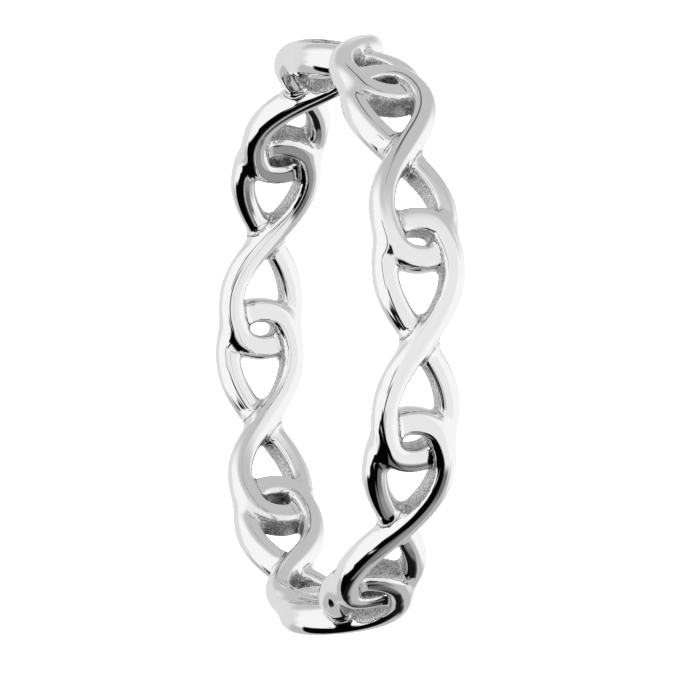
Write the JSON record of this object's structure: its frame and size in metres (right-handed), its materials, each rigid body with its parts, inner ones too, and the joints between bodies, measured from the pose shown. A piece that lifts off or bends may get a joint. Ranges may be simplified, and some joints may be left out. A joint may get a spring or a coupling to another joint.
{
  "type": "infinity ring",
  "caption": "Slim finger ring: an open band of interlaced figure-eight (infinity) links, cast in one piece of polished silver, worn on a finger.",
  "frame": {"origin": "On the axis of the finger hole, in the plane that the ring rests on when it lies on its side", "axes": "+Z along the finger hole, out of the resting plane; -Y through the middle of the link that faces the viewer; +X towards the picture's top"},
  "size_m": [0.02, 0.02, 0.003],
  "materials": {
    "silver": "polished silver, with rough cast walls inside the gaps"
  },
  "bodies": {
    "root": {"band": "silver"}
  },
  "joints": []
}
